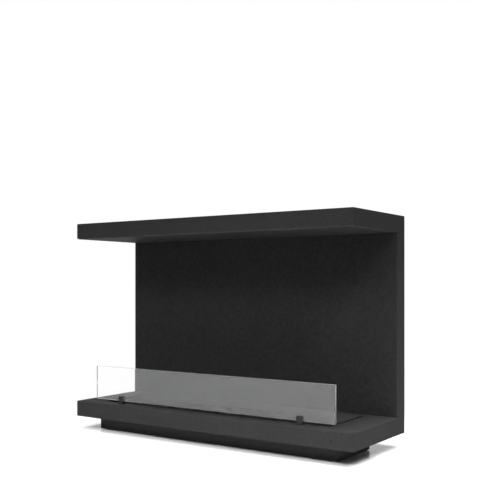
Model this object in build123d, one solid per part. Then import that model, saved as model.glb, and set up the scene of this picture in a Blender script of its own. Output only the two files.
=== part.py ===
"""Three-sided bioethanol fireplace on a recessed plinth.

Millimetres. X runs along the front, with the viewer's right as +X. +Y runs to the back, +Z up.
The origin is on the floor, under the middle of the body. The front face is at Y = -DEPTH / 2.
Distances whose names end in FRONT, BACK or LINE are measured from the front face.
"""

import os

from build123d import *

# ---------------------------------------------------------------- driving dimensions
# Body
WIDTH = 1000.0
DEPTH = 325.0
BODY_HEIGHT = 625.0
SECTION = 50.0  # thickness of hood, back column and base
SHEET = 2.0
FOLD = 5.0  # outer radius of the folds that face the fire space
CHEEK_FLANGE = 18.0
RETURN_FLANGE = 15.0  # under the fascias
CAVITY_FLANGE = 14.0  # inside the back column

FASCIA_HOLE_RADIUS = 1.75
FASCIA_HOLE_CHAMFER = 0.5
FASCIA_HOLE_PITCH = 217.5
FASCIA_HOLES = 5
FASCIA_HOLE_INSET = 22.5  # from the body's upper or lower edge
WALL_HOLE_RADIUS = 4.5
WALL_HOLE_SPREAD = (700.0, 470.0)

# Inner structure
FRAME_WEB_X = 456.0
HOOD_FRAME_X = 150.0
FRAME_FLANGE = 18.0
FRAME_CLEARANCE = 0.3  # between a frame and the insulation boards
BOARD_THICKNESS = 12.0

# Plinth
PLINTH_HEIGHT = 42.0  # rails and glide pads together
PLINTH_FRONT_INSET = 40.0
PLINTH_SIDE_INSET = 68.0
PLINTH_DEPTH = 196.0
RAIL_FLANGE = 20.0
RAIL_BEND = 3.0
PAD_SIZE = (60.0, 18.0, 2.0)
PAD_INSET = 20.0  # from the plinth's end
PLINTH_SCREW_RADIUS = 2.5
PLINTH_SCREW_SPREAD = 0.7  # outer screws of a long rail, as a share of its half length
PLINTH_SCREW_TIP = 2.0  # past the nut
PLINTH_HEAD_HEIGHT = 3.5
PLINTH_NUT_FLATS = 8.0
PLINTH_NUT_HEIGHT = 4.0

# Rear panel fasteners
REAR_SCREW_RADIUS = 2.0
REAR_HEAD_RADIUS = 4.0
REAR_SCREW_LENGTH = 12.0
REAR_SCREW_ROWS = 4
REAR_SCREW_INSET = 10.0  # from the body's end
REAR_NUT_RADIUS = 3.2
REAR_NUT_LENGTH = 7.0

# Burner well
OPENING_LENGTH = 820.0
OPENING_FRONT = 42.0
OPENING_BACK = 252.0
WELL_SHEET = 1.5
WELL_RIM = 12.0
WELL_STEP_DEPTH = 37.5  # upper tray, below the deck's underside
WELL_LOWER_LENGTH = 807.0
WELL_LOWER_FRONT = 67.5
WELL_LOWER_BACK = 208.5
WELL_FLOOR_LEVEL = 8.5  # top of the well's floor
WELL_CUTOUT_GAP = 1.0  # round the well in the bottom pan

# Burner
TOP_PLATE_LENGTH = 800.0
TOP_PLATE_FRONT = 85.0
TOP_PLATE_BACK = 251.5
TOP_PLATE_CORNER = 3.0
FLAME_LINE = 148.0  # middle of the flame slot
FLAME_SLOT_LENGTH = 380.0
FLAME_SLOT_WIDTH = 40.0
CASING_LENGTH = 780.0
CASING_DEPTH = 112.0
CASING_SHEET = 1.5
CASING_FLANGE = 12.0  # behind the casing
STUD_RADIUS = 2.0
STUD_LENGTH = 8.0
STUD_INSET = 5.0  # from the casing flange's end
LID_NUT_FLATS = 7.0
LID_NUT_HEIGHT = 3.2
TRAY_LENGTH = 460.0
TRAY_DEPTH = 96.0
TRAY_SHEET = 1.2
TRAY_RIM = 5.0
TRAY_TOP = 73.0  # level above the floor
WOOL_GAP = 0.5  # to the tray's walls
WOOL_CORNER = 6.0
WOOL_DROP = 1.0  # below the tray's rim
GRILLE_THICKNESS = 1.0
GRILLE_OVERLAP = 3.0  # onto the tray's rim
GRILLE_SLOTS = 23
GRILLE_PITCH = 18.0
GRILLE_SLOT = (70.0, 8.0)
SHUTTER_LENGTH = 194.0
SHUTTER_DEPTH = 56.0
SHUTTER_SHEET = 1.5
SHUTTER_GAP = 0.5  # to the middle plane, to the top plate and to the guides
PULL_LIP_LENGTH = 20.0
PULL_LIP_RISE = 2.5
GUIDE_LENGTH = 772.0
GUIDE_SPACER = 5.0
GUIDE_LIP = 5.0

# Glass and its clips
GLASS_LENGTH = 870.0
GLASS_HEIGHT = 105.0
GLASS_THICKNESS = 6.0
GLASS_CHAMFER = 0.5
GLASS_LINE = 27.4  # middle of the pane
GLASS_GAP = 10.0  # from the deck to the pane's lower edge
CLIP_SPREAD = 654.0  # between the clips' middles
CLIP_WIDTH = 19.0
CLIP_DEPTH = 13.0
CLIP_HEIGHT = 24.0
CLIP_BASE = 8.5
CLIP_CHAMFER = 0.8
LINER = 1.2
LINER_DROP = 0.5  # below the clip's top
CLIP_SCREW_RADIUS = 2.0
CLIP_SCREW_HEAD = (3.0, 2.4)  # radius and height
CLIP_SCREW_BITE = 6.0
CLIP_SCREW_LINE = 24.5
CLIP_SCREW_SPREAD = 12.0

SLIP = 0.3  # gap between pieces that move apart
SCREW_SLACK = 0.05  # radial gap of a screw in its hole

# ---------------------------------------------------------------- levels and lines that follow
FRONT = -DEPTH / 2
BACK = DEPTH / 2
BASE = PLINTH_HEIGHT
DECK = BASE + SECTION
TOP = BASE + BODY_HEIGHT
SOFFIT = TOP - SECTION
PANEL = BACK - SECTION  # front face of the inner back panel
FLAME = FRONT + FLAME_LINE
BURNER_FLOOR = WELL_FLOOR_LEVEL + SLIP  # underside of the casing

MARGIN = 20.0  # how far a cutter runs past what it cuts
NEAR = 0.01  # tolerance when edges are picked by place
UP = (0, 0, 1)
REARWARD = (0, 1, 0)
FORWARD = (0, -1, 0)


# ---------------------------------------------------------------- shapes used again and again
def span(x, y, z):
    """A box from its limits along the three axes, each pair in any order."""
    size = (abs(x[1] - x[0]), abs(y[1] - y[0]), abs(z[1] - z[0]))
    middle = ((x[0] + x[1]) / 2, (y[0] + y[1]) / 2, (z[0] + z[1]) / 2)
    return Pos(*middle) * Box(*size)


def bar(length, y, z):
    """A box of the given length, centred on X."""
    return span((-length / 2, length / 2), y, z)


def from_front(*distances):
    """Distances behind the front face, as Y values."""
    return tuple(FRONT + distance for distance in distances)


def around(middle, width):
    """The two limits of a width about its middle."""
    return middle - width / 2, middle + width / 2


def rod(radius, start, length, direction):
    """A cylinder from a start point, along a direction."""
    return extrude(Plane(start, z_dir=direction) * Circle(radius), amount=length)


def hexagon(across_flats, start, length, direction):
    """A hexagonal prism from a start point, along a direction."""
    profile = RegularPolygon(across_flats / 2, 6, major_radius=False)
    return extrude(Plane(start, z_dir=direction) * profile, amount=length)


def group(pieces):
    """Separate solids that share one node."""
    return Compound(children=list(pieces))


def fold_along_x(length, line, level, up):
    """A quarter-round fold along X: the sheet turns from the front face into a level face.

    line and level are the axis of the fold; up says if the level face lies above the axis.
    """
    side = 1 if up else -1
    tube = Rot(0, 90, 0) * Cylinder(FOLD, length)
    tube -= Rot(0, 90, 0) * Cylinder(FOLD - SHEET, length + MARGIN)
    corner = Pos(0, -FOLD, side * FOLD) * Box(length, 2 * FOLD, 2 * FOLD)
    return Pos(0, line, level) * (tube & corner)


# ---------------------------------------------------------------- body shell
def fold_edges(plate, radius, offset):
    """Round the three edges of the face at X = 0 that border the fire space.

    offset is how far these edges lie outside the fire space.
    """
    wanted = []
    for edge in plate.edges().filter_by(Plane.YZ):
        middle = edge.center()
        on_face = abs(middle.X) < NEAR
        on_deck = abs(middle.Z - (DECK - offset)) < NEAR
        on_soffit = abs(middle.Z - (SOFFIT + offset)) < NEAR
        on_panel = abs(middle.Y - (PANEL + offset)) < NEAR
        if on_face and (on_deck or on_soffit or on_panel):
            wanted.append(edge)
    return fillet(wanted, radius)


def round_arm_tips(plate, radius, depth):
    """Round the arms' front corners, where the fascias fold into the deck and the soffit."""
    axis_y = FRONT + FOLD
    for level, side in ((DECK - FOLD, 1), (SOFFIT + FOLD, -1)):
        corner = span(
            (-MARGIN, depth + MARGIN),
            (axis_y - FOLD - 2 * MARGIN, axis_y),
            (level, level + side * 2 * FOLD),
        )
        kept = Cylinder(radius, depth + 4 * MARGIN)
        kept = Pos(depth / 2, axis_y, level) * Rot(0, 90, 0) * kept
        plate -= corner - kept
    return plate


def left_cheek():
    """C-shaped end sheet, folded inwards round the fire space and along the back edge."""
    outer = span((0, CHEEK_FLANGE), (FRONT, BACK - SHEET), (BASE + SHEET, TOP - SHEET))
    outer -= span((-MARGIN, CHEEK_FLANGE + MARGIN), (FRONT - MARGIN, PANEL), (DECK, SOFFIT))
    outer = fold_edges(outer, FOLD, 0)
    outer = round_arm_tips(outer, FOLD, CHEEK_FLANGE)

    depth = 2 * CHEEK_FLANGE
    front = FRONT - 2 * MARGIN
    inner = span((0, depth), (front, BACK - 2 * SHEET), (0, TOP + MARGIN))
    inner -= span(
        (-MARGIN, depth + MARGIN),
        (front - MARGIN, PANEL + SHEET),
        (DECK - SHEET, SOFFIT + SHEET),
    )
    inner = fold_edges(inner, FOLD - SHEET, SHEET)
    inner = round_arm_tips(inner, FOLD - SHEET, depth)

    cheek = Pos(-WIDTH / 2, 0, 0) * (outer - Pos(SHEET, 0, 0) * inner)
    for x, z in rear_screw_places():
        cheek -= rod(REAR_SCREW_RADIUS + SCREW_SLACK, (x, BACK, z), MARGIN, FORWARD)
    return cheek


def fascia_holes(level):
    """Cutters for the row of fixing holes in one fascia, each with a small chamfer."""
    cutters = []
    wide = FASCIA_HOLE_RADIUS + FASCIA_HOLE_CHAMFER
    for index in range(FASCIA_HOLES):
        x = (index - (FASCIA_HOLES - 1) / 2) * FASCIA_HOLE_PITCH
        cutters.append(rod(FASCIA_HOLE_RADIUS, (x, FRONT - MARGIN, level), 2 * MARGIN, REARWARD))
        rim = Cone(wide, FASCIA_HOLE_RADIUS, 2 * FASCIA_HOLE_CHAMFER)
        cutters.append(Pos(x, FRONT, level) * Rot(-90, 0, 0) * rim)
    return cutters


def folded_pan(level_face, edge_level, hole_level, up):
    """Fascia and level sheet in one fold. up is True for the deck and False for the soffit."""
    side = 1 if up else -1
    inner_length = WIDTH - 2 * CHEEK_FLANGE
    axis = level_face - side * FOLD
    pan = bar(WIDTH - 2 * SHEET, from_front(0, SHEET), (axis, edge_level))
    pan += fold_along_x(inner_length, FRONT + FOLD, axis, up)
    pan += bar(
        inner_length,
        (FRONT + FOLD, PANEL + CAVITY_FLANGE),
        (level_face, level_face - side * SHEET),
    )
    pan += bar(
        inner_length - 2 * SHEET,
        from_front(0, RETURN_FLANGE),
        (edge_level, edge_level + side * SHEET),
    )
    for cutter in fascia_holes(hole_level):
        pan -= cutter
    return pan


def hood_soffit_pan():
    return folded_pan(SOFFIT, TOP - SHEET, TOP - FASCIA_HOLE_INSET, up=False)


def base_deck_pan():
    """Deck and base fascia, with the burner opening and the holes for the clip screws."""
    pan = folded_pan(DECK, BASE + SHEET, BASE + FASCIA_HOLE_INSET, up=True)
    opening = from_front(OPENING_FRONT, OPENING_BACK)
    pan -= bar(OPENING_LENGTH, opening, (DECK - MARGIN, DECK + MARGIN))
    for x, y in clip_screw_places():
        pan -= rod(CLIP_SCREW_RADIUS + SCREW_SLACK, (x, y, DECK - MARGIN), 2 * MARGIN, UP)
    return pan


def hood_top_cover():
    return bar(WIDTH, (FRONT, BACK), (TOP - SHEET, TOP))


def base_bottom_pan():
    """Flat floor sheet of the base, cut out where the well goes down into the plinth."""
    pan = bar(WIDTH, (FRONT, BACK), (BASE, BASE + SHEET))
    room = WELL_SHEET + WELL_CUTOUT_GAP
    cutout = from_front(WELL_LOWER_FRONT - room, WELL_LOWER_BACK + room)
    pan -= bar(WELL_LOWER_LENGTH + 2 * room, cutout, (BASE - MARGIN, BASE + MARGIN))
    for x, y in plinth_screw_places():
        pan -= plinth_screw_hole(x, y)
    return pan


def back_inner_panel():
    """Heat shield that faces the fire space, with a flange at its head and foot."""
    length = WIDTH - 2 * CHEEK_FLANGE
    panel = bar(length, (PANEL, PANEL + SHEET), (DECK, SOFFIT))
    for level in (DECK, SOFFIT - SHEET):
        panel += bar(length, (PANEL, PANEL + CAVITY_FLANGE), (level, level + SHEET))
    return panel


def back_outer_panel():
    """Screwed rear cover, with four holes for wall anchors."""
    panel = bar(WIDTH, (BACK - SHEET, BACK), (BASE + SHEET, TOP - SHEET))
    for x in around(0, WALL_HOLE_SPREAD[0]):
        for z in around((BASE + TOP) / 2, WALL_HOLE_SPREAD[1]):
            panel -= rod(WALL_HOLE_RADIUS, (x, BACK - MARGIN, z), 2 * MARGIN, REARWARD)
    for x, z in rear_screw_places():
        panel -= rear_screw(x, z, SCREW_SLACK)
    return panel


# ---------------------------------------------------------------- inner structure
def right_frame(x, base_arm):
    """Folded inner frame: an upright in the back column, a hood arm and, if asked, a base arm."""
    low = BASE + SHEET
    high = TOP - SHEET
    front = FRONT + 2 * RETURN_FLANGE
    post_front = PANEL + SHEET + BOARD_THICKNESS + FRAME_CLEARANCE
    post_back = BACK - 2 * SHEET
    hood_under = SOFFIT + SHEET + BOARD_THICKNESS + FRAME_CLEARANCE
    web_x = (x, x + SHEET)
    flange_x = (x, x + FRAME_FLANGE)
    frame = span(web_x, (post_front, post_back), (low, high))
    frame += span(web_x, (front, post_back), (hood_under, high))
    frame += span(flange_x, (post_back - SHEET, post_back), (low, high))
    frame += span(flange_x, (front, post_back), (high - SHEET, high))
    if base_arm:
        frame += span(web_x, (front, post_back), (low, DECK - SHEET))
        frame += span(flange_x, (front, post_back), (low, low + SHEET))
    return frame


def hood_insulation_board():
    length = WIDTH - 2 * CHEEK_FLANGE - 2 * SHEET
    levels = (SOFFIT + SHEET, SOFFIT + SHEET + BOARD_THICKNESS)
    return bar(length, (FRONT + 2 * RETURN_FLANGE, PANEL), levels)


def back_insulation_board():
    length = WIDTH - 2 * CHEEK_FLANGE - 2 * SHEET
    face = PANEL + SHEET
    return bar(length, (face, face + BOARD_THICKNESS), (DECK + SHEET, SOFFIT - SHEET))


# ---------------------------------------------------------------- plinth
def plinth_limits():
    """Outer limits of the plinth: X half-width, front line and back line."""
    front, back = from_front(PLINTH_FRONT_INSET, PLINTH_FRONT_INSET + PLINTH_DEPTH)
    return WIDTH / 2 - PLINTH_SIDE_INSET, front, back


def round_along_x(block, face, radius):
    """Round the long edges of a block on its face at the given Y."""
    edges = [edge for edge in block.edges().filter_by(Axis.X) if abs(edge.center().Y - face) < NEAR]
    return fillet(edges, radius)


def front_rail():
    """Folded channel that opens into the plinth."""
    half, front, _ = plinth_limits()
    low = PAD_SIZE[2]
    depth = SHEET + RAIL_FLANGE
    rail = bar(2 * half, (front, front + depth), (low, BASE))
    rail = round_along_x(rail, front, RAIL_BEND)
    inner = front + SHEET
    hollow = bar(2 * half + MARGIN, (inner, front + depth + MARGIN), (low + SHEET, BASE - SHEET))
    rail -= round_along_x(hollow, inner, RAIL_BEND - SHEET)
    for x, y in plinth_screw_places():
        if y < front + depth:
            rail -= plinth_screw_hole(x, y)
    return rail


def rear_rail():
    """The front rail, turned about the plinth's middle."""
    _, front, back = plinth_limits()
    return Pos(0, front + back, 0) * (Rot(0, 0, 180) * front_rail())


def left_rail():
    """End rail: the wall runs between the long rails, its flanges stop short of theirs."""
    half, front, back = plinth_limits()
    low = PAD_SIZE[2]
    wall_x = (-half, -half + SHEET)
    flange_x = (-half, -half + SHEET + RAIL_FLANGE)
    flange_y = (front + SHEET + RAIL_FLANGE, back - SHEET - RAIL_FLANGE)
    rail = span(wall_x, (front + SHEET, back - SHEET), (low + RAIL_BEND, BASE - RAIL_BEND))
    rail += span(wall_x, flange_y, (low, BASE))
    for level in (low, BASE - SHEET):
        rail += span(flange_x, flange_y, (level, level + SHEET))
    for x, y in plinth_screw_places():
        if x < -half + RAIL_FLANGE:
            rail -= plinth_screw_hole(x, y)
    return rail


def plinth_screw_places():
    """Three screws in each long rail and one in each end rail."""
    half, front, back = plinth_limits()
    line = SHEET + RAIL_FLANGE / 2
    outer = PLINTH_SCREW_SPREAD * half
    places = [(x, y) for y in (front + line, back - line) for x in (-outer, 0, outer)]
    places += [(x, (front + back) / 2) for x in (-half + line, half - line)]
    return places


def plinth_screw_hole(x, y):
    """Cutter through the rail's upper flange and the bottom pan, short of the lower flange."""
    radius = PLINTH_SCREW_RADIUS + SCREW_SLACK
    return rod(radius, (x, y, BASE - 2 * SHEET), MARGIN, UP)


def plinth_screw(x, y):
    """Hexagon-head screw from inside the plinth up into the base."""
    under = BASE - SHEET
    tip = BASE + SHEET + PLINTH_NUT_HEIGHT + PLINTH_SCREW_TIP
    head_start = (x, y, under - PLINTH_HEAD_HEIGHT)
    head = hexagon(PLINTH_NUT_FLATS, head_start, PLINTH_HEAD_HEIGHT, UP)
    return head + rod(PLINTH_SCREW_RADIUS, head_start, tip - head_start[2], UP)


def plinth_nut(x, y):
    nut = hexagon(PLINTH_NUT_FLATS, (x, y, BASE + SHEET), PLINTH_NUT_HEIGHT, UP)
    return nut - plinth_screw_hole(x, y)


def glide_pad(side, row):
    """Rubber pad under a long rail's lower flange. side is -1 or 1, row is front or rear."""
    half, front, back = plinth_limits()
    length, depth, height = PAD_SIZE
    line = SHEET + RAIL_FLANGE / 2
    x = side * (half - PAD_INSET - length / 2)
    y = front + line if row == "front" else back - line
    pad = span(around(x, length), around(y, depth), (0, height))
    return fillet(pad.edges().filter_by(Axis.Z), depth / 4)


# ---------------------------------------------------------------- rear panel fasteners
def rear_screw_places():
    """Columns of screws up both ends of the rear panel."""
    x = WIDTH / 2 - REAR_SCREW_INSET
    step = (SOFFIT - DECK) / (REAR_SCREW_ROWS - 1)
    return [(side * x, DECK + row * step) for row in range(REAR_SCREW_ROWS) for side in (-1, 1)]


def rear_screw(x, z, slack):
    """Countersunk screw; slack widens it into the cutter for its hole."""
    head_depth = REAR_HEAD_RADIUS - REAR_SCREW_RADIUS
    shank = rod(REAR_SCREW_RADIUS + slack, (x, BACK, z), REAR_SCREW_LENGTH, FORWARD)
    head = Cone(REAR_SCREW_RADIUS + slack, REAR_HEAD_RADIUS + slack, head_depth)
    return shank + Pos(x, BACK - head_depth / 2, z) * Rot(-90, 0, 0) * head


def rear_nut(x, z):
    """Rivet nut behind the cheek's back flange."""
    body = rod(REAR_NUT_RADIUS, (x, BACK - 2 * SHEET, z), REAR_NUT_LENGTH, FORWARD)
    return body - rod(REAR_SCREW_RADIUS + SCREW_SLACK, (x, BACK, z), MARGIN, FORWARD)


# ---------------------------------------------------------------- burner well
def burner_well():
    """Stepped tray that hangs in the deck opening and goes down into the plinth."""
    rim_top = DECK - SHEET
    step = rim_top - WELL_STEP_DEPTH + WELL_SHEET
    wall = WELL_SHEET
    rim = wall + WELL_RIM
    near, far = from_front(OPENING_FRONT, OPENING_BACK)
    low_near, low_far = from_front(WELL_LOWER_FRONT, WELL_LOWER_BACK)
    lower_y = (low_near - wall, low_far + wall)
    floor = WELL_FLOOR_LEVEL - wall
    well = bar(OPENING_LENGTH + 2 * wall, (near - wall, far + wall), (step - wall, rim_top))
    well += bar(OPENING_LENGTH + 2 * rim, (near - rim, far + rim), (rim_top - wall, rim_top))
    well += bar(WELL_LOWER_LENGTH + 2 * wall, lower_y, (floor, step))
    well -= bar(OPENING_LENGTH, (near, far), (step, rim_top + MARGIN))
    well -= bar(WELL_LOWER_LENGTH, (low_near, low_far), (WELL_FLOOR_LEVEL, step + MARGIN))
    return well


# ---------------------------------------------------------------- burner
def stud_places():
    """Studs in the end flanges of the casing."""
    x = TOP_PLATE_LENGTH / 2 - STUD_INSET
    return [(side * x, y) for side in (-1, 1) for y in around(FLAME, CASING_DEPTH * 2 / 3)]


def burner_casing():
    """Open stainless box with an outward flange under the top plate."""
    near, far = around(FLAME, CASING_DEPTH)
    top = DECK - SHEET
    end_flange = (TOP_PLATE_LENGTH - CASING_LENGTH) / 2
    casing = bar(CASING_LENGTH, (near, far), (BURNER_FLOOR, top))
    flange_y = (near - end_flange / 2, far + CASING_FLANGE)
    casing += bar(CASING_LENGTH + 2 * end_flange, flange_y, (top - CASING_SHEET, top))
    hollow_y = (near + CASING_SHEET, far - CASING_SHEET)
    hollow_z = (BURNER_FLOOR + CASING_SHEET, top + MARGIN)
    casing -= bar(CASING_LENGTH - 2 * CASING_SHEET, hollow_y, hollow_z)
    for x, y in stud_places():
        casing -= rod(STUD_RADIUS + SCREW_SLACK, (x, y, top - MARGIN), 2 * MARGIN, UP)
    return casing


def burner_top_plate():
    """Flush black lid with the flame slot; weld studs on its underside hold it to the casing."""
    outline = from_front(TOP_PLATE_FRONT, TOP_PLATE_BACK)
    plate = bar(TOP_PLATE_LENGTH, outline, (DECK - SHEET, DECK))
    plate = fillet(plate.edges().filter_by(Axis.Z), TOP_PLATE_CORNER)
    slot = bar(FLAME_SLOT_LENGTH, around(FLAME, FLAME_SLOT_WIDTH), (DECK - MARGIN, DECK + MARGIN))
    plate -= fillet(slot.edges().filter_by(Axis.Z), TOP_PLATE_CORNER)
    for x, y in stud_places():
        plate += rod(STUD_RADIUS, (x, y, DECK - SHEET - STUD_LENGTH), STUD_LENGTH + SHEET / 2, UP)
    return plate


def lid_nut(x, y):
    under = DECK - SHEET - CASING_SHEET
    nut = hexagon(LID_NUT_FLATS, (x, y, under - LID_NUT_HEIGHT), LID_NUT_HEIGHT, UP)
    return nut - rod(STUD_RADIUS + SCREW_SLACK, (x, y, under - MARGIN), 2 * MARGIN, UP)


def fuel_tray():
    """Deep tray with a rim, which stands on the casing's floor."""
    low = BURNER_FLOOR + CASING_SHEET
    near, far = around(FLAME, TRAY_DEPTH)
    tray = bar(TRAY_LENGTH, (near, far), (low, TRAY_TOP))
    rim_z = (TRAY_TOP - TRAY_SHEET, TRAY_TOP)
    tray += bar(TRAY_LENGTH + 2 * TRAY_RIM, (near - TRAY_RIM, far + TRAY_RIM), rim_z)
    hollow_y = (near + TRAY_SHEET, far - TRAY_SHEET)
    hollow_z = (low + TRAY_SHEET, TRAY_TOP + MARGIN)
    tray -= bar(TRAY_LENGTH - 2 * TRAY_SHEET, hollow_y, hollow_z)
    return tray


def ceramic_wool_core():
    """Absorbent block that fills the tray."""
    low = BURNER_FLOOR + CASING_SHEET + TRAY_SHEET
    room = 2 * (TRAY_SHEET + WOOL_GAP)
    core = bar(TRAY_LENGTH - room, around(FLAME, TRAY_DEPTH - room), (low, TRAY_TOP - WOOL_DROP))
    return fillet(core.edges().filter_by(Axis.Z), WOOL_CORNER)


def perforated_plate():
    """Slotted plate on the tray's rim, which holds the wool down."""
    levels = (TRAY_TOP, TRAY_TOP + GRILLE_THICKNESS)
    depth = TRAY_DEPTH + 2 * GRILLE_OVERLAP
    plate = bar(TRAY_LENGTH + 2 * GRILLE_OVERLAP, around(FLAME, depth), levels)
    for index in range(GRILLE_SLOTS):
        x = (index - (GRILLE_SLOTS - 1) / 2) * GRILLE_PITCH
        slot = Pos(x, FLAME, TRAY_TOP) * Rot(0, 0, 90) * SlotOverall(*GRILLE_SLOT)
        plate -= extrude(slot, amount=MARGIN, both=True)
    return plate


def shutter_guide(side):
    """Rail under the top plate: a spacer with a lip that carries the shutters' edges."""
    edge = FLAME + side * (SHUTTER_DEPTH / 2 + SHUTTER_GAP)
    outer = edge + side * GUIDE_SPACER
    lip_edge = edge - side * GUIDE_LIP
    lip_top = DECK - SHEET - SHUTTER_GAP - SHUTTER_SHEET - SLIP
    lip_under = lip_top - SHUTTER_SHEET
    guide = bar(GUIDE_LENGTH, (edge, outer), (lip_under, DECK - SHEET))
    guide += bar(GUIDE_LENGTH, (lip_edge, outer), (lip_under, lip_top))
    return guide


def right_shutter():
    """Sliding plate that closes half of the flame slot, with an upturned lip at its inner end."""
    top = DECK - SHEET - SHUTTER_GAP
    under = top - SHUTTER_SHEET
    plate_x = (SHUTTER_GAP, SHUTTER_GAP + SHUTTER_LENGTH)
    lip_x = (SHUTTER_GAP, SHUTTER_GAP + SHUTTER_SHEET)
    plate = span(plate_x, around(FLAME, SHUTTER_DEPTH), (under, top))
    plate += span(lip_x, around(FLAME, PULL_LIP_LENGTH), (under, top + PULL_LIP_RISE))
    return plate


# ---------------------------------------------------------------- glass and its clips
def clip_screw_places():
    """Two screws in each clip."""
    y = FRONT + CLIP_SCREW_LINE
    middles = around(0, CLIP_SPREAD)
    return [(x, y) for middle in middles for x in around(middle, CLIP_SCREW_SPREAD)]


def glass_pane():
    """Tempered pane with ground and chamfered edges."""
    low = DECK + GLASS_GAP
    y = around(FRONT + GLASS_LINE, GLASS_THICKNESS)
    pane = bar(GLASS_LENGTH, y, (low, low + GLASS_HEIGHT))
    return chamfer(pane.edges().filter_by(Axis.Y, reverse=True), GLASS_CHAMFER)


def right_clip():
    """Steel block with a slot for the pane and its liner."""
    line = FRONT + GLASS_LINE
    clip_x = around(CLIP_SPREAD / 2, CLIP_WIDTH)
    clip = span(clip_x, around(line, CLIP_DEPTH), (DECK, DECK + CLIP_HEIGHT))
    upright = clip.edges().filter_by(Axis.Z)
    rim = clip.edges().group_by(Axis.Z)[-1]
    clip = chamfer(upright + rim, CLIP_CHAMFER)
    slot_x = around(CLIP_SPREAD / 2, CLIP_WIDTH + MARGIN)
    slot_y = around(line, GLASS_THICKNESS + 2 * (SLIP + LINER))
    clip -= span(slot_x, slot_y, (DECK + CLIP_BASE, DECK + CLIP_HEIGHT + MARGIN))
    for x, y in clip_screw_places():
        if x > 0:
            hole_start = (x, y, DECK - MARGIN)
            length = MARGIN + CLIP_SCREW_BITE + 1
            clip -= rod(CLIP_SCREW_RADIUS + SCREW_SLACK, hole_start, length, UP)
    return clip


def right_liner():
    """U-shaped silicone liner in the clip's slot."""
    line = FRONT + GLASS_LINE
    middle = CLIP_SPREAD / 2
    room = GLASS_THICKNESS + 2 * SLIP
    top = DECK + CLIP_HEIGHT - LINER_DROP
    liner = span(around(middle, CLIP_WIDTH), around(line, room + 2 * LINER), (DECK + CLIP_BASE, top))
    slot_z = (DECK + GLASS_GAP - SLIP, top + MARGIN)
    return liner - span(around(middle, CLIP_WIDTH + MARGIN), around(line, room), slot_z)


def clip_screw(x, y):
    """Pan-head screw from below the deck up into a clip."""
    radius, height = CLIP_SCREW_HEAD
    start = (x, y, DECK - SHEET - height)
    head = rod(radius, start, height, UP)
    return head + rod(CLIP_SCREW_RADIUS, start, height + SHEET + CLIP_SCREW_BITE, UP)


# ---------------------------------------------------------------- assembly
def flipped(shape):
    """The left-hand twin of a right-hand piece, or the reverse."""
    return mirror(shape, about=Plane.YZ)


def build_parts():
    """Every piece by the name of its node."""
    parts = {
        "left_cheek": left_cheek(),
        "right_cheek": flipped(left_cheek()),
        "hood_top_cover": hood_top_cover(),
        "hood_soffit_pan": hood_soffit_pan(),
        "back_inner_panel": back_inner_panel(),
        "back_outer_panel": back_outer_panel(),
        "base_deck_pan": base_deck_pan(),
        "base_bottom_pan": base_bottom_pan(),
        "c_frame_left": flipped(right_frame(FRAME_WEB_X, base_arm=True)),
        "c_frame_right": right_frame(FRAME_WEB_X, base_arm=True),
        "hood_frame_left": flipped(right_frame(HOOD_FRAME_X, base_arm=False)),
        "hood_frame_right": right_frame(HOOD_FRAME_X, base_arm=False),
        "hood_insulation_board": hood_insulation_board(),
        "back_insulation_board": back_insulation_board(),
        "plinth_front_rail": front_rail(),
        "plinth_rear_rail": rear_rail(),
        "plinth_left_rail": left_rail(),
        "plinth_right_rail": flipped(left_rail()),
        "burner_well": burner_well(),
        "burner_casing": burner_casing(),
        "burner_top_plate": burner_top_plate(),
        "fuel_tray": fuel_tray(),
        "ceramic_wool_core": ceramic_wool_core(),
        "perforated_plate": perforated_plate(),
        "shutter_guide_front": shutter_guide(-1),
        "shutter_guide_rear": shutter_guide(1),
        "shutter_left": flipped(right_shutter()),
        "shutter_right": right_shutter(),
        "glass_pane": glass_pane(),
        "glass_clip_left": flipped(right_clip()),
        "glass_clip_right": right_clip(),
        "clip_liner_left": flipped(right_liner()),
        "clip_liner_right": right_liner(),
        "clip_screws": group(clip_screw(x, y) for x, y in clip_screw_places()),
        "lid_nuts": group(lid_nut(x, y) for x, y in stud_places()),
        "plinth_screws": group(plinth_screw(x, y) for x, y in plinth_screw_places()),
        "plinth_weld_nuts": group(plinth_nut(x, y) for x, y in plinth_screw_places()),
        "rear_panel_screws": group(rear_screw(x, z, 0) for x, z in rear_screw_places()),
        "rear_rivet_nuts": group(rear_nut(x, z) for x, z in rear_screw_places()),
    }
    for side, name in ((-1, "left"), (1, "right")):
        for row in ("front", "rear"):
            parts[f"glide_pad_{row}_{name}"] = glide_pad(side, row)
    return parts


def main():
    os.makedirs("parts", exist_ok=True)
    for name, shape in build_parts().items():
        export_step(shape, f"parts/{name}.step")


main()
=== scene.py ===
import math

import bmesh
import bpy
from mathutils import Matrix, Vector, noise


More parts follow.
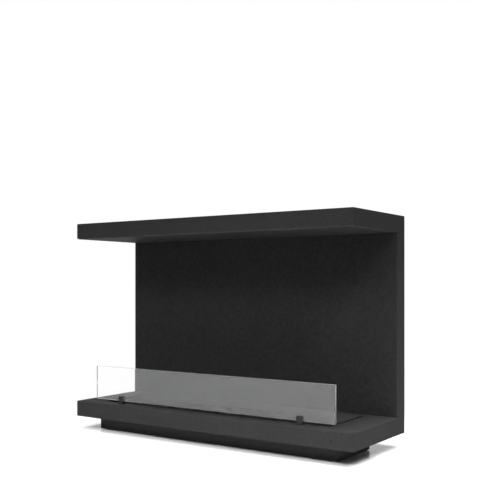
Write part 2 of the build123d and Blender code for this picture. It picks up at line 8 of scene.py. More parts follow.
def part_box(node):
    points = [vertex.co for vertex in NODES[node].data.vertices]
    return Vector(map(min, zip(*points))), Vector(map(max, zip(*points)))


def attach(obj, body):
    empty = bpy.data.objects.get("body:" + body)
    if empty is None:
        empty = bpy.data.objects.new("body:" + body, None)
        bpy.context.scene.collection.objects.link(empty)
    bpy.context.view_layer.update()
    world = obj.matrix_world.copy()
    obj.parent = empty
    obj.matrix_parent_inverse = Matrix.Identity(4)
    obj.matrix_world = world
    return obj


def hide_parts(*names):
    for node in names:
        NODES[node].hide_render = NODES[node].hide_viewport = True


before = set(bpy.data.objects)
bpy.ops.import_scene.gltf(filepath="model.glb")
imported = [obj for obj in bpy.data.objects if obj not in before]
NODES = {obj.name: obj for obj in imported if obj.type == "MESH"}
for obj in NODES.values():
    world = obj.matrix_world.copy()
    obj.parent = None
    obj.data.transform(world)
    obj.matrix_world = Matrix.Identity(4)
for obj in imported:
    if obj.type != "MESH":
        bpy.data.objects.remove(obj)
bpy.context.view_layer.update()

# Lengths are in metres and angles in degrees. A noise's scale is its number of features a metre.

# ---------------------------------------------------------------- camera
CAMERA_PLACE = (1.4062, -1.9657, 0.4687)
CAMERA_PITCH = 90  # level
CAMERA_YAW = 34.36
CAMERA_LENS = 57.16  # in millimetres, as is the sensor
CAMERA_SENSOR = 36.0
CAMERA_SHIFT_Y = 0.0755

# ---------------------------------------------------------------- light and stage
SKY = 0.02  # what the world gives to matt surfaces
WHITE = 1.0  # the background that the camera, gloss and glass see
HALF_BOUNCE = 0.5  # tells rays that no matt surface has scattered from the rest
FLOOR_COLOR = 0.88
FLOOR_SHEEN = 0.29  # share of the background that the floor mirrors to the same rays
FLOOR_SHEEN_ROUGHNESS = 0.08
FLOOR_HALF = 8.0
FLOOR_FADE = (0.62, 0.92)  # distances over which the floor turns to the plain background
LAMPS = (  # name, place, target, size, watts, spread in degrees
    ("lamp_overhead", (0.0, 0.0, 2.0), (0.0, 0.001, 0.0), (1.4, 0.8), 12.5, 70),
    ("lamp_front_high", (0.1, -1.5, 1.4), (0.0, -0.1, 0.02), (2.4, 0.5), 5.0, 60),
    ("lamp_front_low", (-0.2, -2.6, 0.9), (-0.1, -0.1, 0.05), (4.0, 0.4), 0.9, 90),
    ("lamp_front_floor", (0.06, -0.82, 0.45), (0.06, -0.6, 0.0), (1.4, 0.45), 3.6, 43),
    ("lamp_right_floor", (1.02, -0.1, 0.46), (0.88, -0.1, 0.0), (0.5, 1.0), 1.25, 50),
    ("lamp_right_high", (1.7, -1.1, 1.8), (0.3, 0.0, 0.05), (0.8, 0.8), 2.5, 60),
    ("lamp_right_far", (1.5, 0.6, 1.6), (1.1, 0.3, 0.0), (0.8, 0.8), 1.85, 50),
    ("lamp_left", (-2.3, 0.6, 0.4), (-0.5, 0.1, 0.35), (0.8, 0.4), 0.9, 60),
    ("lamp_back", (0.0, 2.5, 0.8), (0.0, 0.16, 0.35), (2.4, 0.6), 4.0, 60),
)

# ---------------------------------------------------------------- powder coat
COAT_BLACK = (0.034, 0.034, 0.0345)
COAT_ROUGHNESS = 0.6
COAT_SPECULAR = 0.02
COAT_GRAIN = 0.0009  # size of its grains
CLIP_GRAIN = 0.0006
PEEL_SCALE = 250.0
SPOT_SCALE = 110.0
CLOUD_SCALE = 7.0
GRAIN_SHARE = 0.5  # shares of grain, spots and clouds in the coat's colour variation
COAT_MOTTLE = 0.3
CLOUD_SHARE = 0.2
SHIELD_MOTTLE = 0.55  # heat leaves stronger spots
COAT_SHADES = (0.72, 1.28)  # the darkest and the lightest, as factors on the coat's colour
FOLD_HIGHLIGHT = 1.4  # painted highlight: how much lighter the coat is drawn on folds that face down
HIGHLIGHT_SHADES = (0.8 * FOLD_HIGHLIGHT, 1.2 * FOLD_HIGHLIGHT)
CLOUD_GLOSS = 0.04  # how far the clouds and the peel move the roughness
PEEL_GLOSS = 0.03
GRAIN_RELIEF = 0.00006
PEEL_RELIEF = 1.6  # times that of the grain
RECESS_SHADE_TONE = 0.77  # painted shade: the coat inside the fire space, under the hood, is drawn darker
# painted light: the plinth, in the shade under the base, is drawn lighter than the coat elsewhere
PLINTH_LIT_TONE = 1.15
FOOT_SHADE_TONE = 0.45  # painted shade: the plinth's coat is drawn darker near the floor
LID_LIT_TONE = 1.2  # painted light: the burner top plate is drawn a little lighter than the deck
WELL_TONE = 0.6
DULL_ROUGHNESS = COAT_ROUGHNESS + 0.05  # of the shield and the plinth
WELL_ROUGHNESS = COAT_ROUGHNESS + 0.1

# ---------------------------------------------------------------- places on a surface
FOLD_NORMAL = (0.8, 0.985)  # largest part of the normal on folds, and on faces square to an axis
DOWN_NORMAL = (-0.35, -0.05)  # the normal's Z on faces that look down, and on those that don't
FRONT_NORMAL = -0.7  # the normal's Y is under this on faces that look forward
SHIELD_MARGIN = 0.002  # the painted shade of the fire space covers what lies behind a plane this far in front of the shield
FOOT_SHADE_HEIGHTS = (0.002, 0.016)  # where the painted shade near the floor is full, and where it ends
PANE_NORMAL = (0.9, 0.98)  # the normal's Y on the pane's ground edges, and on its two faces

# ---------------------------------------------------------------- glass
GLASS_IOR = 1.3
GLASS_CLEAR = 0.933  # the rest is a faint veil that scatters light
GLASS_SMEARS = 30.0  # scale of the faint smears
SMEAR_COLOR = (0.978, 0.98, 0.979)
GROUND_EDGE_CLEAR = 0.8  # the pane's ground edges are frosted
GROUND_EDGE_COLOR = (0.92, 0.93, 0.925)
GROUND_EDGE_ROUGHNESS = 0.3
GLASS_SHADOW = (0.85, 0.86, 0.855)  # what the pane lets through of the lamps

# ---------------------------------------------------------------- other materials
STAINLESS_GREY = (0.56, 0.555, 0.55)
STAINLESS_ROUGHNESS = 0.33
DRAWN_LINES = 2600.0  # scale across the lines that the steel is drawn with
DRAWN_STRETCH = (0.02, 1, 1)  # they run along X
STEEL_SMEARS = 18.0
LINE_SHARE = 0.75  # shares of the lines and the smears in the steel's variation
SMEAR_SHARE = 0.25
STEEL_SHADES = (0.8, 1.15)
STEEL_GLOSS = 0.08  # how far they move the roughness
STEEL_MIDDLE = (0.2, 0.8)  # the part of the variation that moves it
STEEL_ANISOTROPY = 0.5
STEEL_RELIEF = 0.00003
GALVANISED_GREY = (0.45, 0.46, 0.47)
ZINC_GREY = (0.6, 0.6, 0.6)
SCREW_BLACK = (0.05, 0.05, 0.052)
SILICONE_BLACK = (0.03, 0.03, 0.03)
PAD_BLACK = (0.02, 0.02, 0.02)
BOARD_TAN = (0.6, 0.56, 0.48)
WOOL_WHITE = (0.8, 0.79, 0.76)
STRAND_SCALE = 2400.0  # across the strands of mineral fibre
STRAND_STRETCH = 0.08  # and along them, times that
LUMP_SCALE = 240.0
LUMP_WEIGHT = 1.5  # times that of the strands
FIBRE_HEIGHTS = (0.9, 1.6)  # heights where the fibre is darkest, and where it is lightest
FIBRE_SHADE = 0.72
FIBRE_ROUGHNESS = 0.95
FIBRE_SPECULAR = 0.1
FIBRE_RELIEF = 0.0006

# ---------------------------------------------------------------- mesh finish
EDGE_SOFTENING = 0.0004  # rounding of sheet edges
FINE_SOFTENING = 0.0002  # rounding on small pieces
SOFTENING_SEGMENTS = 2
SOFTENED_ANGLE = 35  # sharper edges are rounded
WELD_DISTANCE = 0.00001
FLAT_ANGLE = 0.5  # faces that meet at less are joined
FACE_WEIGHT = 100  # large faces keep their own normals

# ---------------------------------------------------------------- replaced pieces
WOOL_CELL = 0.003
WOOL_ROUNDING = 0.007
WOOL_RELIEF = 0.0022
WOOL_LUMPS = 45  # scale of the lumps
WOOL_LUMP_NOISE = (0.8, 2.0, 3)  # fall per octave, step between octaves, and their number
WOOL_FIBRES = (((35, 260, 260), 0), ((230, 40, 230), 7))  # scales along X, Y and Z, shift in Z
WOOL_LUMP_SHARE = 0.55
WOOL_FIBRE_SHARE = 0.9
SCREW_ROWS = 4
SCREW_SIDES = 18
SCREW_HEAD_RADIUS = 0.004
SCREW_FACE_RADIUS = SCREW_HEAD_RADIUS * 0.95  # inside the turned edge of the head
SCREW_EDGE_DEPTH = 0.05 * SCREW_HEAD_RADIUS
SCREW_RADIUS = 0.002
SCREW_ROOT_RADIUS = 0.0017
SCREW_TIP_RADIUS = SCREW_ROOT_RADIUS * 0.6
SCREW_PITCH = 0.0007
SCREW_LENGTH = 0.012
FIRST_TURN = 0.6  # where the thread starts under the head, in turns
PLAIN_TURNS = 2  # turns of the shank that have no groove
SOCKET_FLATS = 0.0025
SOCKET_DEPTH = 0.0013
SOCKET_POINT_DEPTH = SOCKET_DEPTH * 1.3  # the drilled point in its floor


# ---------------------------------------------------------------- node helpers
def new_material(name):
    """A new material, its node tree and shader, and its object coordinates."""
    material = bpy.data.materials.new(name)
    material.use_nodes = True
    tree = material.node_tree
    shader = tree.nodes["Principled BSDF"]
    place = tree.nodes.new("ShaderNodeTexCoord").outputs["Object"]
    return material, tree, shader, place


def noise_field(tree, place, scale, detail, stretch=(1, 1, 1)):
    """Noise from 0 to 1. stretch scales it along each axis."""
    mapping = tree.nodes.new("ShaderNodeMapping")
    mapping.inputs["Scale"].default_value = [scale * s for s in stretch]
    tree.links.new(place, mapping.inputs["Vector"])
    texture = tree.nodes.new("ShaderNodeTexNoise")
    texture.inputs["Scale"].default_value = 1.0
    texture.inputs["Detail"].default_value = detail
    tree.links.new(mapping.outputs["Vector"], texture.inputs["Vector"])
    return texture.outputs["Fac"]


def remap(tree, value, low, high, start=0.3, end=0.7):
    """low where the value is at or under start, high at or over end, and even in between.

    Unless they are given, start and end take in the middle of a noise's range.
    """
    node = tree.nodes.new("ShaderNodeMapRange")
    node.inputs["From Min"].default_value = start
    node.inputs["From Max"].default_value = end
    node.inputs["To Min"].default_value = low
    node.inputs["To Max"].default_value = high
    tree.links.new(value, node.inputs["Value"])
    return node.outputs["Result"]


def math_node(tree, operation, a, b):
    """A sum, product or comparison of two sockets or numbers."""
    node = tree.nodes.new("ShaderNodeMath")
    node.operation = operation
    for socket, value in zip(node.inputs, (a, b)):
        if isinstance(value, (int, float)):
            socket.default_value = value
        else:
            tree.links.new(value, socket)
    return node.outputs[0]


def tint(tree, factor, dark, light):
    """A colour between two, by a factor. Each is a colour or a socket."""
    node = tree.nodes.new("ShaderNodeMix")
    node.data_type = "RGBA"
    for socket, color in ((node.inputs[6], dark), (node.inputs[7], light)):
        if isinstance(color, tuple):
            socket.default_value = (*color, 1)
        else:
            tree.links.new(color, socket)
    tree.links.new(factor, node.inputs["Factor"])
    return node.outputs[2]


def scaled(color, factor):
    return tuple(min(1.0, c * factor) for c in color)


def shaded(tree, factor, color, shades):
    """A colour between its darkest and its lightest shade, by a factor."""
    darkest, lightest = shades
    return tint(tree, factor, scaled(color, darkest), scaled(color, lightest))


def parts_of(tree, vector):
    """A vector's parts along X, Y and Z."""
    split = tree.nodes.new("ShaderNodeSeparateXYZ")
    tree.links.new(vector, split.inputs["Vector"])
    return split.outputs


def surface_normal(tree):
    return tree.nodes.new("ShaderNodeTexCoord").outputs["Normal"]


def normal_sizes(tree):
    """Sizes of the surface normal along the object's three axes."""
    size = tree.nodes.new("ShaderNodeVectorMath")
    size.operation = "ABSOLUTE"
    tree.links.new(surface_normal(tree), size.inputs[0])
    return parts_of(tree, size.outputs["Vector"])


def add_bump(tree, shader, height, distance):
    """Relief in the shading. A height of 1 stands for the distance."""
    bump = tree.nodes.new("ShaderNodeBump")
    bump.inputs["Distance"].default_value = distance
    tree.links.new(height, bump.inputs["Height"])
    tree.links.new(bump.outputs["Normal"], shader.inputs["Normal"])


# ---------------------------------------------------------------- places on a surface
def rounded_places(tree):
    """0 on faces square to an axis, up to 1 on folds and rounded edges."""
    x, y, z = normal_sizes(tree)
    largest = math_node(tree, "MAXIMUM", math_node(tree, "MAXIMUM", x, y), z)
    return remap(tree, largest, 1, 0, *FOLD_NORMAL)


def downward_places(tree):
    """0 on faces that look level or up, 1 on those that look down."""
    return remap(tree, parts_of(tree, surface_normal(tree))["Z"], 1, 0, *DOWN_NORMAL)


def recess_shade_places(tree, place):
    """Where the fire space's painted shade goes: 1 on faces that look forward and lie level with
    the inner back panel, and 0 elsewhere.
    """
    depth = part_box("back_inner_panel")[0].y - SHIELD_MARGIN
    behind = math_node(tree, "GREATER_THAN", parts_of(tree, place)["Y"], depth)
    forward = parts_of(tree, surface_normal(tree))["Y"]
    facing = math_node(tree, "LESS_THAN", forward, FRONT_NORMAL)
    return math_node(tree, "MULTIPLY", behind, facing)


def foot_shade_places(tree, place):
    """Where the painted shade near the floor goes: 1 at the floor, falling to 0 a little way up.
    """
    return remap(tree, parts_of(tree, place)["Z"], 1, 0, *FOOT_SHADE_HEIGHTS)


# ---------------------------------------------------------------- materials
def powder_coat(name, color, roughness, grain_size=COAT_GRAIN, mottling=COAT_MOTTLE, painted_shade=None):
    """Fine-textured powder coat: speckled grain, mottle, faint clouds, and a painted highlight on
    folds that face down.

    mottling is the strength of the spots, which leaves the coat's mean tone as it is.
    The last argument gives a painted shade: the darker tone it draws, and the function that says
    where the coat has it.
    """
    material, tree, shader, place = new_material(name)
    grain = noise_field(tree, place, 1 / grain_size, detail=3)
    peel = noise_field(tree, place, PEEL_SCALE, detail=2)
    mottle = noise_field(tree, place, SPOT_SCALE, detail=2)
    cloud = noise_field(tree, place, CLOUD_SCALE, detail=3)

    middle = COAT_MOTTLE / 2
    spots = remap(tree, mottle, middle - mottling / 2, middle + mottling / 2)
    speckle = math_node(tree, "ADD", remap(tree, grain, 0, GRAIN_SHARE), spots)
    speckle = math_node(tree, "ADD", speckle, remap(tree, cloud, 0, CLOUD_SHARE))
    # painted highlight: folds that face down are drawn lighter, standing in for light from the
    # floor
    painted_highlight = math_node(tree, "MULTIPLY", rounded_places(tree), downward_places(tree))
    flat_color = shaded(tree, speckle, color, COAT_SHADES)
    highlight_color = shaded(tree, speckle, color, HIGHLIGHT_SHADES)
    coat_color = tint(tree, painted_highlight, flat_color, highlight_color)
    # painted shade: the coat is drawn darker where shade falls
    if painted_shade is not None:
        tone, shade_places = painted_shade
        shade_color = shaded(tree, speckle, scaled(color, tone), COAT_SHADES)
        coat_color = tint(tree, shade_places(tree, place), coat_color, shade_color)
    tree.links.new(coat_color, shader.inputs["Base Color"])

    clouded = remap(tree, cloud, roughness - CLOUD_GLOSS, roughness + CLOUD_GLOSS)
    peeled = remap(tree, peel, -PEEL_GLOSS, PEEL_GLOSS)
    tree.links.new(math_node(tree, "ADD", clouded, peeled), shader.inputs["Roughness"])
    shader.inputs["Specular IOR Level"].default_value = COAT_SPECULAR
    relief = math_node(tree, "ADD", grain, math_node(tree, "MULTIPLY", peel, PEEL_RELIEF))
    add_bump(tree, shader, relief, GRAIN_RELIEF)
    return material


def brushed_steel(name, color, roughness):
    """Steel with fine drawn lines."""
    material, tree, shader, place = new_material(name)
    line = noise_field(tree, place, DRAWN_LINES, detail=4, stretch=DRAWN_STRETCH)
    smear = noise_field(tree, place, STEEL_SMEARS, detail=3)
    lines = remap(tree, line, 0, LINE_SHARE)
    smears = remap(tree, smear, 0, SMEAR_SHARE)
    mixed = math_node(tree, "ADD", lines, smears)
    tree.links.new(shaded(tree, mixed, color, STEEL_SHADES), shader.inputs["Base Color"])
    duller, glossier = roughness + STEEL_GLOSS, roughness - STEEL_GLOSS
    gloss = remap(tree, mixed, duller, glossier, *STEEL_MIDDLE)
    tree.links.new(gloss, shader.inputs["Roughness"])
    shader.inputs["Metallic"].default_value = 1.0
    shader.inputs["Anisotropic"].default_value = STEEL_ANISOTROPY
    add_bump(tree, shader, line, STEEL_RELIEF)
    return material


def one_noise_finish(name, color, scale, detail, shades, roughness, metallic, relief):
    """A material whose colour, gloss and relief all follow one noise."""
    material, tree, shader, place = new_material(name)
    field = noise_field(tree, place, scale, detail)
    tree.links.new(shaded(tree, field, color, shades), shader.inputs["Base Color"])
    tree.links.new(remap(tree, field, *roughness), shader.inputs["Roughness"])
    shader.inputs["Metallic"].default_value = metallic
    add_bump(tree, shader, field, relief)
    return material


def zinc_plate(name, color):
    """Bright zinc with a faint crystalline bloom."""
    return one_noise_finish(name, color, scale=650.0, detail=4, shades=(0.75, 1.2),
                            roughness=(0.28, 0.5), metallic=1.0, relief=0.00003)


def blackened_steel(name, color):
    """Black oxide on steel, rubbed a little brighter in places."""
    return one_noise_finish(name, color, scale=900.0, detail=4, shades=(0.7, 1.5),
                            roughness=(0.55, 0.4), metallic=1.0, relief=0.00002)


def rubber(name, color):
    """Moulded rubber with a fine matt skin."""
    return one_noise_finish(name, color, scale=1500.0, detail=3, shades=(0.8, 1.3),
                            roughness=(0.6, 0.8), metallic=0.0, relief=0.00004)


def ceramic_fibre(name, color):
    """Matted mineral fibres: fine strands over soft lumps."""
    material, tree, shader, place = new_material(name)
    along_x, along_y = (STRAND_STRETCH, 1, 1), (1, STRAND_STRETCH, 1)
    strand_x = noise_field(tree, place, STRAND_SCALE, detail=2, stretch=along_x)
    strand_y = noise_field(tree, place, STRAND_SCALE, detail=2, stretch=along_y)
    lump = noise_field(tree, place, LUMP_SCALE, detail=4)
    strands = math_node(tree, "MAXIMUM", strand_x, strand_y)
    relief = math_node(tree, "ADD", strands, math_node(tree, "MULTIPLY", lump, LUMP_WEIGHT))
    share = remap(tree, relief, 0, 1, *FIBRE_HEIGHTS)
    tree.links.new(tint(tree, share, scaled(color, FIBRE_SHADE), color),
                   shader.inputs["Base Color"])
    shader.inputs["Roughness"].default_value = FIBRE_ROUGHNESS
    shader.inputs["Specular IOR Level"].default_value = FIBRE_SPECULAR
    add_bump(tree, shader, relief, FIBRE_RELIEF)
    return material


def clear_glass(name):
    """Clear polished pane with frosted ground edges, which lets the lamps through."""
    material, tree, shader, place = new_material(name)
    smear = noise_field(tree, place, GLASS_SMEARS, detail=3)
    edge = remap(tree, normal_sizes(tree)["Y"], 1, 0, *PANE_NORMAL)
    face_color = tint(tree, smear, SMEAR_COLOR, (1, 1, 1))
    tree.links.new(tint(tree, edge, face_color, GROUND_EDGE_COLOR), shader.inputs["Base Color"])
    frosting = remap(tree, edge, 0, GROUND_EDGE_ROUGHNESS, 0, 1)
    tree.links.new(frosting, shader.inputs["Roughness"])
    clear = remap(tree, edge, GLASS_CLEAR, GROUND_EDGE_CLEAR, 0, 1)
    tree.links.new(clear, shader.inputs["Transmission Weight"])
    shader.inputs["IOR"].default_value = GLASS_IOR

    shadow = tree.nodes.new("ShaderNodeBsdfTransparent")
    shadow.inputs["Color"].default_value = (*GLASS_SHADOW, 1)
    both = tree.nodes.new("ShaderNodeMixShader")
    shadow_ray = tree.nodes.new("ShaderNodeLightPath").outputs["Is Shadow Ray"]
    tree.links.new(shadow_ray, both.inputs["Fac"])
    tree.links.new(shader.outputs[0], both.inputs[1])
    tree.links.new(shadow.outputs[0], both.inputs[2])
    tree.links.new(both.outputs[0], tree.nodes["Material Output"].inputs["Surface"])
    return material


# ---------------------------------------------------------------- CAD nodes
def finish_node(name, material, softening):
    """Give a CAD node its material, and soften its edges with modifiers."""
    node = NODES[name]
    for slot in node.material_slots:
        slot.material = material
    weld = node.modifiers.new("weld", "WELD")
    weld.merge_threshold = WELD_DISTANCE
    flat = node.modifiers.new("flat_faces", "DECIMATE")
    flat.decimate_type = "DISSOLVE"
    flat.angle_limit = math.radians(FLAT_ANGLE)
    if softening:
        bevel = node.modifiers.new("soft_edges", "BEVEL")
        bevel.width = softening
        bevel.segments = SOFTENING_SEGMENTS
        bevel.limit_method = "ANGLE"
        bevel.angle_limit = math.radians(SOFTENED_ANGLE)
        bevel.use_clamp_overlap = True
    shade = node.modifiers.new("shading", "WEIGHTED_NORMAL")
    shade.mode = "FACE_AREA"
    shade.weight = FACE_WEIGHT


def finish_cad_nodes():
    """Give every CAD node that is kept its material and its finished edges."""
    coat = powder_coat("powder_coat", COAT_BLACK, COAT_ROUGHNESS)
    # painted shade: the cheeks' faces inside the fire space and the whole inner panel are drawn
    # darker
    cheek = powder_coat("cheek_coat", COAT_BLACK, COAT_ROUGHNESS,
                        painted_shade=(RECESS_SHADE_TONE, recess_shade_places))
    shield = powder_coat("shield_shade_coat", scaled(COAT_BLACK, RECESS_SHADE_TONE), DULL_ROUGHNESS,
                         mottling=SHIELD_MOTTLE)
    # the plinth is a lighter copy of the coat, with a painted shade near the floor
    plinth = powder_coat("plinth_coat", scaled(COAT_BLACK, PLINTH_LIT_TONE), DULL_ROUGHNESS,
                         painted_shade=(FOOT_SHADE_TONE, foot_shade_places))
    well = powder_coat("well_coat", scaled(COAT_BLACK, WELL_TONE), WELL_ROUGHNESS)
    lid = powder_coat("burner_coat", scaled(COAT_BLACK, LID_LIT_TONE), COAT_ROUGHNESS)
    clip = powder_coat("clip_coat", COAT_BLACK, COAT_ROUGHNESS, grain_size=CLIP_GRAIN)
    stainless = brushed_steel("stainless", STAINLESS_GREY, STAINLESS_ROUGHNESS)
    galvanised = zinc_plate("galvanised", GALVANISED_GREY)
    zinc = zinc_plate("zinc_screws", ZINC_GREY)
    board = ceramic_fibre("insulation_board", BOARD_TAN)
    silicone = rubber("silicone", SILICONE_BLACK)
    pad = rubber("glide_rubber", PAD_BLACK)
    looks = (
        (cheek, EDGE_SOFTENING, ("left_cheek", "right_cheek")),
        (coat, EDGE_SOFTENING, ("hood_top_cover", "hood_soffit_pan", "back_outer_panel",
                                "base_deck_pan", "base_bottom_pan")),
        (shield, EDGE_SOFTENING, ("back_inner_panel",)),
        (galvanised, EDGE_SOFTENING, ("c_frame_left", "c_frame_right", "hood_frame_left",
                                      "hood_frame_right")),
        (board, FINE_SOFTENING, ("hood_insulation_board", "back_insulation_board")),
        (plinth, EDGE_SOFTENING, ("plinth_front_rail", "plinth_rear_rail", "plinth_left_rail",
                                  "plinth_right_rail")),
        (well, EDGE_SOFTENING, ("burner_well",)),
        (stainless, FINE_SOFTENING, ("burner_casing", "fuel_tray", "perforated_plate",
                                     "shutter_guide_front", "shutter_guide_rear")),
        (lid, EDGE_SOFTENING, ("burner_top_plate",)),
        (lid, FINE_SOFTENING, ("shutter_left", "shutter_right")),
        (clear_glass("clear_glass"), 0, ("glass_pane",)),
        (clip, FINE_SOFTENING, ("glass_clip_left", "glass_clip_right")),
        (silicone, 0, ("clip_liner_left", "clip_liner_right")),
        (zinc, 0, ("clip_screws", "lid_nuts", "plinth_screws", "plinth_weld_nuts",
                   "rear_rivet_nuts")),
        (pad, FINE_SOFTENING, ("glide_pad_front_left", "glide_pad_front_right",
                               "glide_pad_rear_left", "glide_pad_rear_right")),
    )
    for material, softening, names in looks:
        for name in names:
            finish_node(name, material, softening)


# ---------------------------------------------------------------- replaced pieces
def add_object(name, data):
    """An object with the given data, linked to the scene."""
    thing = bpy.data.objects.new(name, data)
    bpy.context.scene.collection.objects.link(thing)
    return thing


def add_piece(name, shape, material, body, node):
    """Turn a finished bmesh into a piece that stands for a CAD node."""
    mesh = bpy.data.meshes.new(name)
    bmesh.ops.recalc_face_normals(shape, faces=shape.faces)
    shape.to_mesh(mesh)
    shape.free()
    mesh.materials.append(material)
    piece = add_object(name, mesh)
    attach(piece, body)
    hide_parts(node)
    return piece


def gridded_block(half, cell):
    """A block about the origin, with its faces divided into cells."""
    shape = bmesh.new()
    bmesh.ops.create_cube(shape, size=2)
    for vertex in shape.verts:
        vertex.co = Vector(c * h for c, h in zip(vertex.co, half))
    for axis in range(3):
        along = []
        for edge in shape.edges:
            start, end = (vertex.co[axis] for vertex in edge.verts)
            if abs(start - end) > half[axis]:
                along.append(edge)
        cuts = max(1, round(2 * half[axis] / cell) - 1)
        bmesh.ops.subdivide_edges(shape, edges=along, cuts=cuts)
    return shape


def wool_relief(place):
    """Depth of the wool's surface, from 0 to 1: soft lumps crossed by matted fibres."""
    lump = 0.5 + 0.5 * noise.fractal(place * WOOL_LUMPS, *WOOL_LUMP_NOISE)
    fibres = []
    for scales, shift in WOOL_FIBRES:
        x, y, z = (c * s for c, s in zip(place, scales))
        fibres.append(abs(noise.noise(Vector((x, y, z + shift)))))
    depth = WOOL_LUMP_SHARE * lump + WOOL_FIBRE_SHARE * min(fibres)
    return min(1.0, max(0.0, depth))


def add_wool_core():
    """Matted wool block with rounded edges and a lumpy, fibrous skin."""
    low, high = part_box("ceramic_wool_core")
    middle = (low + high) / 2
    half = (high - low) / 2
    shape = gridded_block(half, WOOL_CELL)
    core = [h - WOOL_ROUNDING for h in half]
    for vertex in shape.verts:
        inner = Vector(max(-c, min(c, v)) for v, c in zip(vertex.co, core))
        outward = (vertex.co - inner).normalized()
        depth = WOOL_ROUNDING - WOOL_RELIEF * wool_relief(middle + vertex.co)
        vertex.co = middle + inner + outward * depth
    for face in shape.faces:
        face.smooth = True
    material = ceramic_fibre("ceramic_wool", WOOL_WHITE)
    wool = add_piece("wool_core", shape, material, "burner", "ceramic_wool_core")


def hexagon_radius(angle, across_flats):
    """Distance from a hexagon's middle to its outline."""
    return across_flats / 2 / math.cos((angle + math.pi / 6) % (math.pi / 3) - math.pi / 6)


def screw_rings():
    """Depth below the head's face and radius of each ring, from the socket's mouth to the tip."""
    head_depth = SCREW_HEAD_RADIUS - SCREW_RADIUS
    rings = [
        (0.0, SCREW_FACE_RADIUS),
        (SCREW_EDGE_DEPTH, SCREW_HEAD_RADIUS),
        (head_depth, SCREW_RADIUS),
    ]
    turns = int((SCREW_LENGTH - head_depth) / SCREW_PITCH) - PLAIN_TURNS
    for turn in range(turns):
        start = head_depth + (turn + FIRST_TURN) * SCREW_PITCH
        rings += [(start, SCREW_RADIUS), (start + SCREW_PITCH / 2, SCREW_ROOT_RADIUS)]
    rings.append((SCREW_LENGTH, SCREW_TIP_RADIUS))
    return rings


def add_screw(shape, head):
    """A countersunk screw with a hexagon socket, whose head faces +Y at the given place."""
    angles = [2 * math.pi * side / SCREW_SIDES for side in range(SCREW_SIDES)]
    socket = [hexagon_radius(angle, SOCKET_FLATS) for angle in angles]

    def ring(depth, radii):
        corners = []
        for angle, radius in zip(angles, radii):
            offset = Vector((radius * math.cos(angle), -depth, radius * math.sin(angle)))
            corners.append(shape.verts.new(head + offset))
        return corners

    rings = [ring(SOCKET_DEPTH, socket), ring(0.0, socket)]
    rings += [ring(depth, [radius] * SCREW_SIDES) for depth, radius in screw_rings()]
    for near, far in zip(rings, rings[1:]):
        for side in range(SCREW_SIDES):
            after = (side + 1) % SCREW_SIDES
            shape.faces.new((near[side], near[after], far[after], far[side]))
    for end, depth in ((rings[0], SOCKET_POINT_DEPTH), (rings[-1], SCREW_LENGTH)):
        tip = shape.verts.new(head + Vector((0, -depth, 0)))
        for side in range(SCREW_SIDES):
            shape.faces.new((end[side], end[(side + 1) % SCREW_SIDES], tip))


def add_rear_screws():
    """Socket screws up both ends of the rear panel."""
    low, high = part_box("rear_panel_screws")
    bottom = low.z + SCREW_HEAD_RADIUS
    step = (high.z - low.z - 2 * SCREW_HEAD_RADIUS) / (SCREW_ROWS - 1)
    shape = bmesh.new()
    for x in (low.x + SCREW_HEAD_RADIUS, high.x - SCREW_HEAD_RADIUS):
        for row in range(SCREW_ROWS):
            add_screw(shape, Vector((x, high.y, bottom + row * step)))
    material = blackened_steel("black_screws", SCREW_BLACK)
    add_piece("rear_socket_screws", shape, material, "body", "rear_panel_screws")


# ---------------------------------------------------------------- stage
def mirrored_rays(tree):
    """1 for what the camera sees by gloss or through glass, and 0 for the rest."""
    path = tree.nodes.new("ShaderNodeLightPath").outputs
    gloss_or_glass = math_node(tree, "MAXIMUM", path["Is Glossy Ray"], path["Is Transmission Ray"])
    unscattered = math_node(tree, "LESS_THAN", path["Diffuse Depth"], HALF_BOUNCE)
    return math_node(tree, "MULTIPLY", gloss_or_glass, unscattered)


def seen_rays(tree):
    """1 for what the camera sees, straight or by gloss or glass, and 0 for the rest."""
    camera_ray = tree.nodes.new("ShaderNodeLightPath").outputs["Is Camera Ray"]
    return math_node(tree, "MAXIMUM", camera_ray, mirrored_rays(tree))


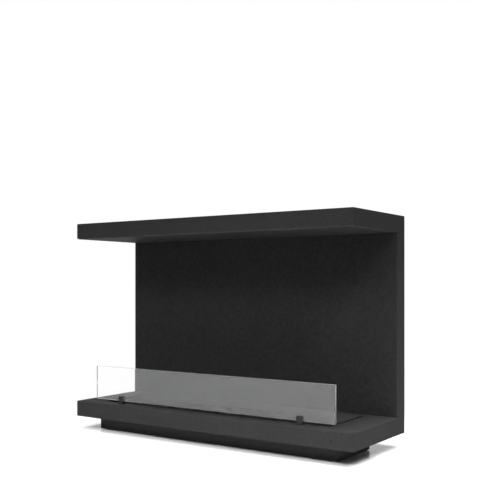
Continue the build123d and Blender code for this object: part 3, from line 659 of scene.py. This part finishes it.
def floor_material():
    """Matt white with a faint sheen, which turns to the plain background further out."""
    material = bpy.data.materials.new("floor_white")
    material.use_nodes = True
    tree = material.node_tree
    tree.nodes.clear()
    matt = tree.nodes.new("ShaderNodeBsdfDiffuse")
    matt.inputs["Color"].default_value = (FLOOR_COLOR, FLOOR_COLOR, FLOOR_COLOR, 1)
    sheen = tree.nodes.new("ShaderNodeBsdfGlossy")
    sheen.inputs["Roughness"].default_value = FLOOR_SHEEN_ROUGHNESS
    share = math_node(tree, "MULTIPLY", seen_rays(tree), FLOOR_SHEEN)
    tree.links.new(tint(tree, share, (0, 0, 0), (1, 1, 1)), sheen.inputs["Color"])
    near = tree.nodes.new("ShaderNodeAddShader")
    tree.links.new(matt.outputs[0], near.inputs[0])
    tree.links.new(sheen.outputs[0], near.inputs[1])

    white = tree.nodes.new("ShaderNodeEmission")
    white.inputs["Strength"].default_value = WHITE
    distance = tree.nodes.new("ShaderNodeVectorMath")
    distance.operation = "LENGTH"
    tree.links.new(tree.nodes.new("ShaderNodeTexCoord").outputs["Object"], distance.inputs[0])
    faded = remap(tree, distance.outputs["Value"], 0, 1, *FLOOR_FADE)
    far = math_node(tree, "MULTIPLY", seen_rays(tree), faded)
    shown = tree.nodes.new("ShaderNodeMixShader")
    tree.links.new(math_node(tree, "MAXIMUM", far, mirrored_rays(tree)), shown.inputs["Fac"])
    tree.links.new(near.outputs[0], shown.inputs[1])
    tree.links.new(white.outputs[0], shown.inputs[2])
    output = tree.nodes.new("ShaderNodeOutputMaterial")
    tree.links.new(shown.outputs[0], output.inputs["Surface"])
    return material


def add_floor():
    mesh = bpy.data.meshes.new("floor")
    corners = [(-FLOOR_HALF, -FLOOR_HALF, 0), (FLOOR_HALF, -FLOOR_HALF, 0),
               (FLOOR_HALF, FLOOR_HALF, 0), (-FLOOR_HALF, FLOOR_HALF, 0)]
    mesh.from_pydata(corners, [], [(0, 1, 2, 3)])
    mesh.materials.append(floor_material())
    floor = add_object("floor", mesh)


def add_world():
    """A background that is white to the camera and almost dark to matt surfaces."""
    world = bpy.data.worlds.new("studio")
    bpy.context.scene.world = world
    world.use_nodes = True
    tree = world.node_tree
    background = tree.nodes["Background"]
    background.inputs["Color"].default_value = (1, 1, 1, 1)
    strength = remap(tree, seen_rays(tree), SKY, WHITE, 0, 1)
    tree.links.new(strength, background.inputs["Strength"])


def add_lamps():
    """Soft rectangular lamps, which the camera, gloss and glass don't see."""
    for name, place, target, size, power, spread in LAMPS:
        data = bpy.data.lights.new(name, "AREA")
        data.shape = "RECTANGLE"
        data.size, data.size_y = size
        data.energy = power
        data.spread = math.radians(spread)
        lamp = add_object(name, data)
        lamp.location = place
        toward = Vector(target) - Vector(place)
        lamp.rotation_euler = toward.to_track_quat("-Z", "Y").to_euler()
        lamp.visible_camera = False
        lamp.visible_glossy = False
        lamp.visible_transmission = False


def add_camera():
    data = bpy.data.cameras.new("camera")
    data.sensor_width = CAMERA_SENSOR
    data.lens = CAMERA_LENS
    data.shift_y = CAMERA_SHIFT_Y
    camera = add_object("camera", data)
    camera.location = CAMERA_PLACE
    camera.rotation_euler = (math.radians(CAMERA_PITCH), 0, math.radians(CAMERA_YAW))
    bpy.context.scene.camera = camera


bpy.context.scene.view_settings.view_transform = "Standard"
add_camera()
add_world()
add_lamps()
add_floor()
finish_cad_nodes()
add_wool_core()
add_rear_screws()
